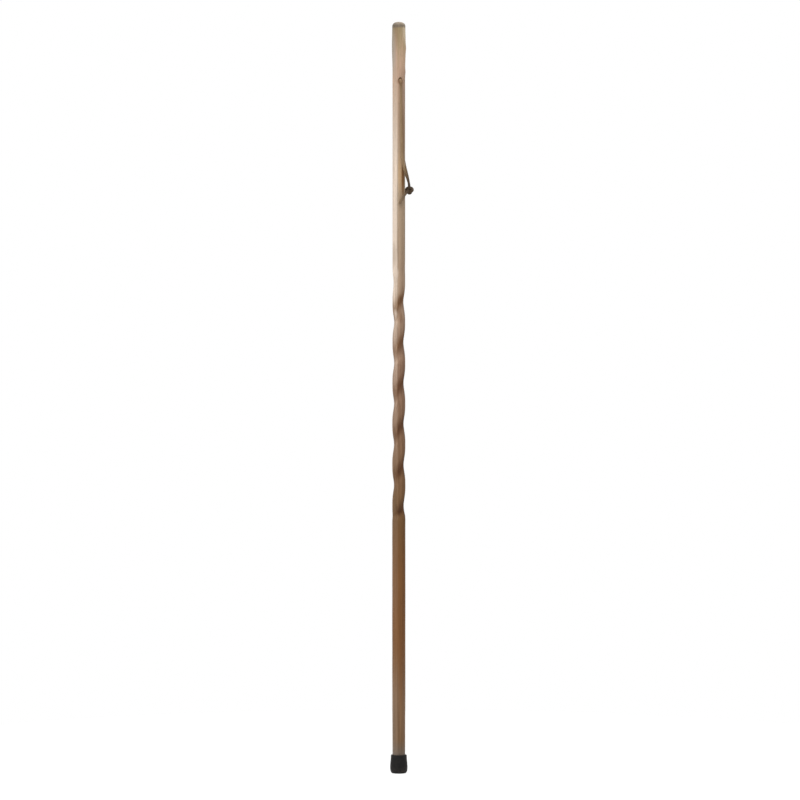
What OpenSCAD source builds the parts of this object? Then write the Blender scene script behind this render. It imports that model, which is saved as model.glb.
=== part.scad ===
// Hiking staff: a one-piece wooden shaft with a carved twist, a leather wrist lace and a rubber ferrule.
// Millimetres, +Z up, origin at the middle of the ferrule's tread. The front of the staff faces -Y.

/* [Shaft] */
// Overall length, from the tread to the crown of the grip
staff_len = 1473; // [1350:1:1600]
// Diameter of the lower shaft
shaft_d = 25.8; // [24.6:0.1:29]
// Diameter of the foot that sits in the ferrule
foot_d = 25.1; // [22:0.1:25.8]
// Length of the straight foot
foot_len = 45; // [30:1:100]
// Length over which the foot grows to the lower shaft
foot_taper_len = 110; // [40:1:200]
// Bevel round the end of the foot
foot_bevel = 1; // [0.4:0.1:3]

/* [Grip] */
// Diameter of the neck between the twist and the grip
neck_d = 24.7; // [23:0.1:27]
// Largest diameter of the grip
grip_d = 27; // [25:0.1:29]
// Distance of the largest diameter below the crown
grip_drop = 46; // [35:1:58]
// Length over which the neck grows into the grip
grip_swell_len = 52; // [25:1:54]
// Diameter at the edge of the domed crown
crown_d = 25.8; // [23:0.1:28]
// Height of the domed crown
crown_h = 9; // [5:0.5:14]

/* [Twist] */
// Height where the twist starts above the tread
twist_z = 494; // [420:1:560]
// Length of the twisted stretch
twist_len = 516; // [400:1:560]
// Rise of the groove in one turn, right-handed
twist_lead = 80; // [60:1:120]
// Depth of the groove
groove_depth = 3.4; // [1:0.1:5]
// Length over which the groove fades in at the lower end
low_fade_len = 20; // [15:1:80]
// Length over which the groove fades out at the upper end
high_fade_len = 84; // [30:1:120]

/* [Lace] */
// Diameter of the cross hole for the lace
hole_d = 6.4; // [5.8:0.1:8]
// Distance of the cross hole below the crown
hole_drop = 114; // [110:1:130]
// Bevel at the two mouths of the hole
hole_ease = 2; // [1.6:0.1:3]
// Width of the flat lace
lace_w = 4.5; // [3.5:0.1:4.8]
// Thickness of the lace
lace_t = 2.4; // [1.6:0.1:2.6]
// Bevel along the edges of the lace
lace_bevel = 0.6; // [0.2:0.1:0.75]
// Thickness of the lace where it is pulled tight in the knot
knot_lace_d = 3.6; // [3:0.1:3.7]
// Radius of the knot's turns, to the middle of the lace
knot_r = 4.8; // [4.5:0.1:4.9]
// How far the turns wander in and out
knot_wander = 2.1; // [2:0.1:2.2]
// How far the turns pass in front of and behind each other
knot_lift = 2.5; // [2.3:0.1:3]

/* [Ferrule] */
// Height of the ferrule
ferrule_h = 36; // [30:0.5:44]
// Wall of the sleeve round the foot
sleeve_wall = 3.1; // [2:0.1:4]
// How far the flared base stands out from the sleeve
flare_step = 1.4; // [0.5:0.1:3]
// Height where the flared base ends
flare_low = 12; // [11.5:0.5:16]
// Height where the sleeve starts
flare_high = 33; // [20:0.5:34]
// Height of the rounding at the ferrule's lower edge
tread_edge_h = 10; // [3:0.5:11]
// How far that rounding comes in at the tread
tread_edge_in = 4.7; // [2:0.1:6]
// Rounding of the sleeve's lip
lip_r = 1; // [0.5:0.1:1.4]
// Rubber between the tread and the washer
sole_t = 8.4; // [6:0.1:10]
// Radial room between the foot and the socket
fit_gap = 0.05; // [0.02:0.01:0.1]
// Number of ring grooves in the tread
tread_rings = 3; // [2:1:4]
// Width of a ring groove
tread_groove_w = 1.4; // [0.8:0.1:1.5]
// Depth of a ring groove
tread_groove_depth = 2; // [1:0.1:3]
// Thickness of the washer in the socket
washer_t = 1.6; // [1:0.1:2.5]
// Diameter of the washer's hole
washer_hole_d = 8; // [5:0.1:12]
// Radial room round the washer
washer_gap = 0.3; // [0.1:0.05:0.6]
// Room between the washer and the end of the foot
seat_gap = 0.1; // [0.05:0.05:0.3]

/* [Hidden] */
$fn = 72;

// Overrun of a cut past the face that it leaves
cut = 1;
// Height of the foot's end, radius of its socket, and heights of the twist's top and the cross hole
foot_z = sole_t + washer_t + seat_gap;
socket_r = foot_d / 2 + fit_gap;
twist_top = twist_z + twist_len;
hole_z = staff_len - hole_drop;

// The carved stretch runs a little way into the turned ends, just inside their skin
twist_lap = 2;
twist_inset = 0.04;
twist_sides = 24;
rings_per_turn = 13;
twist_rings = ceil(twist_len / twist_lead * rings_per_turn);
// Bearing of the groove at the twist's lower end, and how narrow the groove is against its ridge
groove_bearing = -151;
groove_power = 1.6;
// Fullness of the crown's dome: 2 is an ellipse
crown_power = 2.3;
profile_steps = 12;
knot_steps = 60;
knot_sides = 8;
// Points along the knot that count as one turn when its least gap is measured
knot_apart = 8;
// Turn of the knot that brings a crossing on top
knot_turn = 30;
// The knot's middle, seen from the hole's middle
knot_place = [21.4, 0, -215.8];

// Where the strands' faces start to turn to the front and to the back, below the hole, and over what length
face_turn_z = -138;
face_turn_len = 30;
// The strands' shared start, from the hole's middle to the front of the neck
lace_start = [
    [0, 0, 0], [0, -3.5, 0], [0, -7, 0], [0, -10.4, -0.7], [0, -13.4, -2.6], [0, -15.3, -5.6],
    [0.1, -16, -9], [0.2, -16, -15], [0.4, -15.8, -25], [0.6, -15.6, -38]
];
// Route of the front strand down to the knot
front_route = concat(lace_start, [
    [0.8, -15.4, -54], [1, -15.3, -72], [1.3, -15.3, -90], [1.5, -15.3, -108], [1.9, -15.3, -125],
    [2.5, -15.3, -140], [3.5, -15.3, -153], [4.9, -15.2, -164], [6.8, -15, -173], [9, -14.5, -181],
    [11.6, -13.5, -188], [14.4, -11.8, -194], [16.9, -9.4, -199.4], [18.8, -7, -203.8], [20.1, -4.7, -207.6],
    [21, -2.6, -211.2]
]);
// Route of the back strand, drawn on the front side; it hangs further from the shaft
back_route = concat(lace_start, [
    [1, -15.4, -54], [1.6, -15.3, -72], [2.8, -15.3, -90], [4.8, -15.3, -108], [7.6, -15.3, -125],
    [10.9, -15.3, -140], [13.6, -15.1, -153], [15.6, -14.7, -164], [17.4, -13.9, -173], [19.2, -12.7, -181],
    [20.6, -11.2, -188], [21.4, -9.6, -194], [21.8, -7.8, -199.4], [21.9, -6, -203.8], [21.7, -4.2, -207.6],
    [21.2, -2.6, -211.2]
]);
// Route of the front tail from the knot to its cut end; the back tail is its mirror image
tail_route = [
    [17.4, -2.6, -216.8], [15.6, -6, -219.2], [12.8, -9.8, -221.8], [9.6, -13.2, -225], [6, -15.3, -228.8],
    [2.6, -16, -233.4], [-0.4, -16, -238.4], [-2.6, -15.7, -243.6]
];

function unit(v) = v / norm(v);
function smooth(x) = let(c = min(1, max(0, x))) c * c * (3 - 2 * c);
function mix(a, b, x) = a + (b - a) * smooth(x);

// Radius of the wood before the groove is carved
function core_r(z) = mix(shaft_d, neck_d, (z - twist_z) / twist_len) / 2;
// How deep the groove is at a height, as a share of its full depth
function groove_share(z) = smooth((z - twist_z) / low_fade_len) * smooth((twist_top - z) / high_fade_len);
// Bearing of the groove's floor at a height
function groove_turn(z) = groove_bearing + 360 * (z - twist_z) / twist_lead;
function groove_form(a) = pow((1 + cos(a)) / 2, groove_power);
function groove_cut(z, a) = groove_depth * groove_share(z) * groove_form(a - groove_turn(z));
function twist_r(z, a) = core_r(z) - twist_inset - groove_cut(z, a);

// Points of one ring of the carved stretch
function twist_ring(z) = [
    for (i = [0 : twist_sides - 1])
        let(a = 360 * i / twist_sides, r = twist_r(z, a))
            [r * cos(a), r * sin(a), z]
];

// Triangles between successive rings of points, closed by a cap at each end or joined into a loop
function skin(rings, sides, loop = false) = concat(
    [
        for (k = [0 : rings - (loop ? 1 : 2)], i = [0 : sides - 1], half = [0, 1])
            let(
                j = (i + 1) % sides,
                low = k * sides,
                high = ((k + 1) % rings) * sides
            )
                half == 0 ? [low + i, high + i, low + j] : [low + j, high + i, high + j]
    ],
    loop ? [] : [[for (i = [0 : sides - 1]) i], [for (i = [sides - 1 : -1 : 0]) (rings - 1) * sides + i]]
);

// Direction of a route at point k
function along(route, k) = unit(route[min(k + 1, len(route) - 1)] - route[max(k - 1, 0)]);
// Bevelled section of the flat lace: across its width, then through its thickness
lace_section = [
    [lace_w / 2, lace_t / 2 - lace_bevel], [lace_w / 2 - lace_bevel, lace_t / 2],
    [lace_bevel - lace_w / 2, lace_t / 2], [-lace_w / 2, lace_t / 2 - lace_bevel],
    [-lace_w / 2, lace_bevel - lace_t / 2], [lace_bevel - lace_w / 2, -lace_t / 2],
    [lace_w / 2 - lace_bevel, -lace_t / 2], [lace_w / 2, lace_bevel - lace_t / 2]
];

// A flat lace along a route: its outer face looks up inside the hole and away from the staff, and a strand's
// then turns to the front
module lace(route, turned = false) {
    rings = [
        for (k = [0 : len(route) - 1])
            let(
                t = along(route, k),
                front = turned ? smooth((face_turn_z - route[k].z) / face_turn_len) : 0,
                hint = unit([route[k].x, route[k].y, neck_d / 2]) * (1 - front) + [0, -front, 0],
                out = unit(hint - (hint * t) * t),
                side = cross(out, t)
            )
                [for (s = lace_section) route[k] + side * s.x + out * s.y]
    ];
    translate([0, 0, hole_z])
        polyhedron([for (r = rings) each r], skin(len(route), len(lace_section)));
}

// Middle line of the knot: a trefoil seen from the front, with one of its three crossings on top
function knot_point(a) = let(r = knot_r + knot_wander * cos(3 * a), turn = 2 * a + knot_turn)
    [r * cos(turn), knot_lift * sin(3 * a), r * sin(turn)];
knot_line = [for (k = [0 : knot_steps - 1]) knot_point(360 * k / knot_steps)];
// Least gap between two turns of the knot, away from neighbouring points of one turn
function knot_gap() = min([
    for (i = [0 : knot_steps - 1], j = [0 : knot_steps - 1])
        if (abs(i - j) > knot_apart && knot_steps - abs(i - j) > knot_apart)
            norm(knot_line[i] - knot_line[j])
]) - knot_lace_d;
echo(knot_least_gap_mm = knot_gap());

module staff_shaft() color("#a0794f") {
    difference() {
        union() {
            lower_shaft();
            twisted_shaft();
            upper_shaft();
        }
        cross_hole();
    }
}

module lower_shaft() {
    rotate_extrude()
        polygon([
            [0, foot_z], [foot_d / 2 - foot_bevel, foot_z], [foot_d / 2, foot_z + foot_bevel],
            [foot_d / 2, foot_z + foot_len], [shaft_d / 2, foot_z + foot_len + foot_taper_len],
            [shaft_d / 2, twist_z], [0, twist_z]
        ]);
}

module twisted_shaft() {
    heights = concat(
        [twist_z - twist_lap],
        [for (k = [0 : twist_rings]) twist_z + twist_len * k / twist_rings],
        [twist_top + twist_lap]
    );
    polyhedron([for (z = heights) each twist_ring(z)], skin(len(heights), twist_sides));
}

// Neck, swelled grip and domed crown, as one turned profile
module upper_shaft() {
    crown_z = staff_len - crown_h;
    grip_z = staff_len - grip_drop;
    swell = [
        for (k = [0 : profile_steps])
            let(s = k / profile_steps)
                [mix(neck_d, grip_d, s) / 2, grip_z - grip_swell_len * (1 - s)]
    ];
    taper = [
        for (k = [1 : profile_steps])
            let(s = k / profile_steps)
                [mix(grip_d, crown_d, s) / 2, grip_z + (crown_z - grip_z) * s]
    ];
    dome = [
        for (k = [1 : profile_steps])
            let(a = 90 * k / profile_steps, fullness = 2 / crown_power)
                [crown_d / 2 * pow(cos(a), fullness), crown_z + crown_h * pow(sin(a), fullness)]
    ];
    rotate_extrude()
        polygon(concat([[0, twist_top], [neck_d / 2, twist_top]], swell, taper, dome));
}

module cross_hole() {
    reach = neck_d / 2 + cut;
    translate([0, 0, hole_z])
        rotate([90, 0, 0]) {
            cylinder(d = hole_d, h = 2 * reach, center = true);
            for (way = [0, 180])
                rotate([way, 0, 0])
                    translate([0, 0, neck_d / 2 - hole_ease])
                        cylinder(d1 = hole_d, d2 = hole_d + 2 * (hole_ease + cut), h = hole_ease + cut);
        }
}

module rubber_ferrule() color("#2b2b2b") {
    sleeve_r = socket_r + sleeve_wall;
    base_r = sleeve_r + flare_step;
    edge = [
        for (k = [0 : profile_steps])
            let(a = 90 * k / profile_steps)
                [base_r - tread_edge_in * (1 - sin(a)), tread_edge_h * (1 - cos(a))]
    ];
    flare = [
        for (k = [0 : profile_steps])
            let(s = k / profile_steps)
                [mix(base_r, sleeve_r, s), flare_low + (flare_high - flare_low) * s]
    ];
    lip = [
        for (k = [0 : profile_steps])
            let(a = 90 * k / profile_steps)
                [sleeve_r - lip_r * (1 - cos(a)), ferrule_h - lip_r * (1 - sin(a))]
    ];
    ring_pitch = (base_r - tread_edge_in) / (tread_rings + 1);
    difference() {
        rotate_extrude()
            polygon(concat([[0, 0]], edge, flare, lip, [[0, ferrule_h]]));
        translate([0, 0, sole_t])
            cylinder(r = socket_r, h = ferrule_h - sole_t + cut);
        for (k = [1 : tread_rings])
            rotate_extrude()
                translate([ring_pitch * k - tread_groove_w / 2, -cut])
                    square([tread_groove_w, tread_groove_depth + cut]);
    }
}

module ferrule_washer() color("#b9bcc0") {
    translate([0, 0, sole_t])
        difference() {
            cylinder(r = socket_r - washer_gap, h = washer_t);
            translate([0, 0, -cut])
                cylinder(d = washer_hole_d, h = washer_t + 2 * cut);
        }
}

module lanyard_front_strand() color("#4a3324") lace(front_route, turned = true);

module lanyard_back_strand() color("#4a3324") mirror([0, 1, 0]) lace(back_route, turned = true);

module lanyard_knot() color("#3f2b1f") {
    rings = [
        for (k = [0 : knot_steps - 1])
            let(
                t = unit(knot_line[(k + 1) % knot_steps] - knot_line[(k + knot_steps - 1) % knot_steps]),
                hint = [0, 1, 0],
                out = unit(hint - (hint * t) * t),
                side = cross(out, t)
            )
                [
                    for (i = [0 : knot_sides - 1])
                        let(a = 360 * i / knot_sides)
                            knot_line[k] + knot_lace_d / 2 * (side * cos(a) + out * sin(a))
                ]
    ];
    translate(knot_place + [0, 0, hole_z])
        polyhedron([for (r = rings) each r], skin(knot_steps, knot_sides, loop = true));
}

module lanyard_front_tail() color("#4a3324") lace(tail_route);

module lanyard_back_tail() color("#4a3324") mirror([0, 1, 0]) lace(tail_route);

staff_shaft();
rubber_ferrule();
ferrule_washer();
lanyard_front_strand();
lanyard_back_strand();
lanyard_knot();
lanyard_front_tail();
lanyard_back_tail();
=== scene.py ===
"""A one-piece wooden hiking staff with a carved twist, a leather wrist lace and a rubber ferrule.

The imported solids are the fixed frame. Each sub-assembly is a class that builds its meshes in metres, at
their place in that frame, and dresses them with procedural finishes.
"""

import logging
import math
from dataclasses import dataclass, field
from enum import Enum
from typing import Sequence

import bpy
import numpy as np
from mathutils import Matrix, Vector


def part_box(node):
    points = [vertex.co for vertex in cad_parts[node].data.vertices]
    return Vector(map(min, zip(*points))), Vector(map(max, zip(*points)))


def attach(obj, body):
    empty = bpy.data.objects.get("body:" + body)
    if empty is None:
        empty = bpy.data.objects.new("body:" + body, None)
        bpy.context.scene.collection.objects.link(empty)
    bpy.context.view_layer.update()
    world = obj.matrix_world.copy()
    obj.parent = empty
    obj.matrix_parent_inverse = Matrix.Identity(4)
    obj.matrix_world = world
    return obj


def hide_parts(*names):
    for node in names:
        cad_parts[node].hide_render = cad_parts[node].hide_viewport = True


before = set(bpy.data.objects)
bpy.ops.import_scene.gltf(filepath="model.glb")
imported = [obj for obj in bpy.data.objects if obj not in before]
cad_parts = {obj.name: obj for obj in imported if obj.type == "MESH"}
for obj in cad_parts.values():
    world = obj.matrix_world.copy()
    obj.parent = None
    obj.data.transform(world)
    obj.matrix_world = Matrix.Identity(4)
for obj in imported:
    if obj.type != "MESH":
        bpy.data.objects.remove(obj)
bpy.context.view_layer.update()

log = logging.getLogger("hiking_staff")

MM = 0.001
FULL_TURN = 2 * math.pi
QUARTER_TURN = math.pi / 2
# What each axis counts for in a distance: all alike, or as seen along the cross hole
ALL_AXES = (1.0, 1.0, 1.0)
SEEN_ALONG_HOLE = (1.0, 0.0, 1.0)
# Edges that fold by more than this stay sharp
CREASE = math.radians(40)
# Settings of a map range that eases at both ends
EASED = {"interpolation_type": "SMOOTHSTEP"}
# Blender's wave texture goes through this many radians in a length of 1 at a scale of 1
WAVE_RATE = 20

Socket = bpy.types.NodeSocket
Tree = bpy.types.NodeTree
Triple = tuple[float, float, float]
Point = Triple
# Two values of a pattern, and the result at each
Span = tuple[float, float, float, float]
# Bearing, rise, strength and width of a lamp
Lamp = tuple[float, float, float, float]
Colour = tuple[float, float, float, float]
Profile = list[tuple[float, float]]
Route = tuple[Point, ...]
# Height and colour of the stain
Stop = tuple[float, str]


class Body(Enum):
    """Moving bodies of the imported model."""

    FERRULE = "ferrule"
    STAFF = "staff"
    LANYARD = "lanyard"


class Side(Enum):
    """The two ways round the shaft that the lace takes from its cross hole."""

    FRONT = -1
    BACK = 1


class Wash(Enum):
    """The two ways in which a wash of colour lies on the wood."""

    OPAQUE = "MIX"
    CLEAR = "MULTIPLY"


# General helpers


def linear(hex_colour: str) -> Colour:
    """Turn an sRGB hex colour into the linear colour that shaders use.

    Args:
        hex_colour: Six hex digits after a hash sign.

    Returns:
        Red, green, blue and a full alpha.
    """
    shares = [int(hex_colour[k : k + 2], 16) / 255 for k in (1, 3, 5)]
    red, green, blue = (s / 12.92 if s <= 0.04045 else ((s + 0.055) / 1.055) ** 2.4 for s in shares)
    return red, green, blue, 1.0


def smooth(share: float | np.ndarray) -> float | np.ndarray:
    """Ease a share from 0 to 1, level at both ends."""
    held = np.clip(share, 0.0, 1.0)
    return held * held * (3 - 2 * held)


def mix(low: float, high: float, share: float) -> float:
    """Ease from one value to another."""
    return low + (high - low) * smooth(share)


def spot_at(bearing: float, radius: float = 1.0, height: float = 0.0) -> Point:
    """Find the point at a bearing round the staff, a distance from its axis and a height."""
    return radius * math.cos(bearing), radius * math.sin(bearing), height


def fill(node: bpy.types.Node, inputs: dict[str, object] | Sequence[object]) -> None:
    """Set inputs of a node to values, or link them to outputs.

    Args:
        node: Node to fill.
        inputs: Value or output socket for inputs in use, by name, or for the first of them in order.
    """
    used = [socket for socket in node.inputs if socket.enabled]
    if isinstance(inputs, dict):
        used = [next(socket for socket in used if socket.name == name) for name in inputs]
        inputs = list(inputs.values())
    for socket, value in zip(used, inputs):
        if isinstance(value, Socket):
            node.id_data.links.new(value, socket)
        else:
            socket.default_value = value


def add_node(
    tree: Tree, kind: str, inputs: dict[str, object] | Sequence[object] = (), **settings: object
) -> Socket | None:
    """Add one node with its settings and links.

    Args:
        tree: Tree that gets the node.
        kind: Blender's name for the type of node.
        inputs: Values or output sockets for its inputs, as fill takes them.
        settings: Properties of the node.

    Returns:
        The first output in use, whose node has the others, or None where there is none.
    """
    node = tree.nodes.new(kind)
    for name, value in settings.items():
        setattr(node, name, value)
    fill(node, inputs)
    return next((socket for socket in node.outputs if socket.enabled), None)


def soft_spot(
    tree: Tree, place: Socket, middle: Point, scale: Triple, near: float, far: float, strength: float
) -> Socket:
    """Mark a spot with a soft edge.

    Args:
        tree: Tree that gets the nodes.
        place: Position of each point.
        middle: Middle of the spot.
        scale: What each axis counts for in the distance from the middle.
        near: Distance up to which the spot has its full strength.
        far: Distance at which it has faded out.
        strength: Full strength.

    Returns:
        Strength of the spot at each point.
    """
    offset = add_node(tree, "ShaderNodeVectorMath", (place, middle), operation="SUBTRACT")
    scaled = add_node(tree, "ShaderNodeVectorMath", (offset, scale), operation="MULTIPLY")
    gap = add_node(tree, "ShaderNodeVectorMath", (scaled,), operation="LENGTH")
    fade = (gap, far, near, 0.0, strength)
    return add_node(tree, "ShaderNodeMapRange", fade, **EASED)


def new_material(name: str) -> tuple[bpy.types.Material, Tree, bpy.types.Node]:
    """Start a material.

    Args:
        name: Name of the material.

    Returns:
        The material, its node tree and its shader.
    """
    material = bpy.data.materials.new(name)
    material.use_nodes = True
    return material, material.node_tree, material.node_tree.nodes["Principled BSDF"]


def new_object(name: str, data: bpy.types.ID) -> bpy.types.Object:
    """Put a mesh, a camera or a light into the scene.

    Args:
        name: Name of the object.
        data: What the object shows.

    Returns:
        The object, at the origin.
    """
    made = bpy.data.objects.new(name, data)
    bpy.context.scene.collection.objects.link(made)
    return made


def turned_mesh(name: str, profile: Profile, sides: int) -> bpy.types.Mesh:
    """Turn a profile round the Z axis into a closed mesh.

    Args:
        name: Name of the mesh.
        profile: Radius and height of each ring, with a radius of 0 at both ends.
        sides: Number of points round each ring.

    Returns:
        The closed mesh, with its faces outwards.
    """
    bearings = np.linspace(0, FULL_TURN, sides, endpoint=False)
    round_shape = np.stack([np.cos(bearings), np.sin(bearings)], axis=1)
    points = [(0.0, 0.0, profile[0][1])]
    for radius, height in profile[1:-1]:
        points += [(radius * x, radius * y, height) for x, y in round_shape]
    points.append((0.0, 0.0, profile[-1][1]))
    rings = len(profile) - 2
    last = len(points) - 1
    faces: list[tuple[int, ...]] = []
    for i in range(sides):
        j = (i + 1) % sides
        faces.append((0, 1 + j, 1 + i))
        for ring in range(rings - 1):
            low = 1 + ring * sides
            high = low + sides
            faces.append((low + i, low + j, high + j, high + i))
        top = 1 + (rings - 1) * sides
        faces.append((last, top + i, top + j))
    mesh = bpy.data.meshes.new(name)
    mesh.from_pydata(points, [], faces)
    mesh.polygons.foreach_set("use_smooth", [True] * len(mesh.polygons))
    return mesh


def distances(line: np.ndarray) -> np.ndarray:
    """Measure how far along a line each of its points lies."""
    return np.concatenate([[0], np.cumsum(np.linalg.norm(np.diff(line, axis=0), axis=1))])


def even_route(points: Sequence[Point], spacing: float, fineness: int = 16) -> np.ndarray:
    """Run a smooth curve through given points and space it evenly.

    Args:
        points: Points that the curve passes through.
        spacing: Distance between the points of the result.
        fineness: Steps in which the curve goes from one given point to the next before it is spaced.

    Returns:
        Evenly spaced points on a Catmull-Rom curve, from the first point to the last.
    """
    given = np.array(points, float)
    before = 2 * given[0] - given[1]
    after = 2 * given[-1] - given[-2]
    held = np.vstack([before, given, after])
    fine = []
    for k in range(len(given) - 1):
        a, b, c, d = held[k : k + 4]
        for t in np.linspace(0, 1, fineness, endpoint=False):
            bend = 2 * a - 5 * b + 4 * c - d
            turn = 3 * b - a - 3 * c + d
            fine.append(0.5 * (2 * b + (c - a) * t + bend * t**2 + turn * t**3))
    line = np.vstack([fine, given[-1]])
    reach = distances(line)
    stops = np.linspace(0, reach[-1], round(reach[-1] / spacing) + 1)
    return np.stack([np.interp(stops, reach, line[:, axis]) for axis in range(3)], axis=1)


def unit_rows(vectors: np.ndarray) -> np.ndarray:
    """Scale each row of an array to a length of 1."""
    return vectors / np.linalg.norm(vectors, axis=-1, keepdims=True)


def line_steps(line: np.ndarray, endless: bool) -> np.ndarray:
    """Find the way that a line runs at each of its points.

    Args:
        line: Points of the line.
        endless: Whether its last point joins its first.

    Returns:
        A vector along the line at each point, of any length.
    """
    if endless:
        return np.roll(line, -1, axis=0) - np.roll(line, 1, axis=0)
    return np.gradient(line, axis=0)


def swept_mesh(name: str, rings: np.ndarray, endless: bool = False) -> bpy.types.Mesh:
    """Skin a row of rings with faces and cap its ends, or join them.

    Args:
        name: Name of the mesh.
        rings: Points by ring, place in the ring and axis; a ring turns clockwise seen along the sweep.
        endless: Whether the last ring joins the first.

    Returns:
        The closed mesh, whose UV map runs round in u from 0 to 1 and along in v in metres.
    """
    count, sides, _ = rings.shape
    middles = rings.mean(axis=1)
    reach = distances(np.vstack([middles, middles[:1]]))
    faces: list[tuple[int, ...]] = []
    uvs: list[tuple[float, float]] = []
    for k in range(count if endless else count - 1):
        low_ring, high_ring = k * sides, (k + 1) % count * sides
        for i in range(sides):
            j = (i + 1) % sides
            faces.append((low_ring + i, high_ring + i, high_ring + j, low_ring + j))
            low, high = i / sides, (i + 1) / sides
            uvs += [(low, reach[k]), (low, reach[k + 1]), (high, reach[k + 1]), (high, reach[k])]
    if not endless:
        faces.append(tuple(range(sides)))
        uvs += [(i / sides, 0.0) for i in range(sides)]
        faces.append(tuple((count - 1) * sides + i for i in reversed(range(sides))))
        uvs += [(i / sides, reach[-2]) for i in reversed(range(sides))]
    mesh = bpy.data.meshes.new(name)
    mesh.from_pydata(rings.reshape(-1, 3).tolist(), [], faces)
    layer = mesh.uv_layers.new(name="lace")
    layer.data.foreach_set("uv", np.array(uvs, np.float32).ravel())
    mesh.polygons.foreach_set("use_smooth", [len(f) == 4 for f in faces])
    return mesh


def bake_nodes(piece: bpy.types.Object, tree: bpy.types.GeometryNodeTree, values: dict[str, object]) -> None:
    """Run a node tree on a piece and keep the result as its plain mesh.

    Args:
        piece: Object whose mesh is the tree's first input.
        tree: Geometry node tree.
        values: Value of each named input.
    """
    modifier = piece.modifiers.new(tree.name, "NODES")
    modifier.node_group = tree
    for item in tree.interface.items_tree:
        if item.in_out == "INPUT" and item.name in values:
            modifier[item.identifier] = values[item.name]
    view = bpy.context.evaluated_depsgraph_get()
    shown = piece.evaluated_get(view)
    made = bpy.data.meshes.new_from_object(shown, preserve_all_data_layers=True, depsgraph=view)
    piece.modifiers.remove(modifier)
    piece.data = made


# Finishes


@dataclass(frozen=True)
class Rub:
    """A place on the shaft that hands, the lace or the stain have coloured, or where a painted shadow, shade
    or highlight lies, in mm and degrees.
    """

    above_hole: float
    half_length: float
    bearing: float
    half_width: float
    strength: float
    colour: str
    wash: Wash


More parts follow.
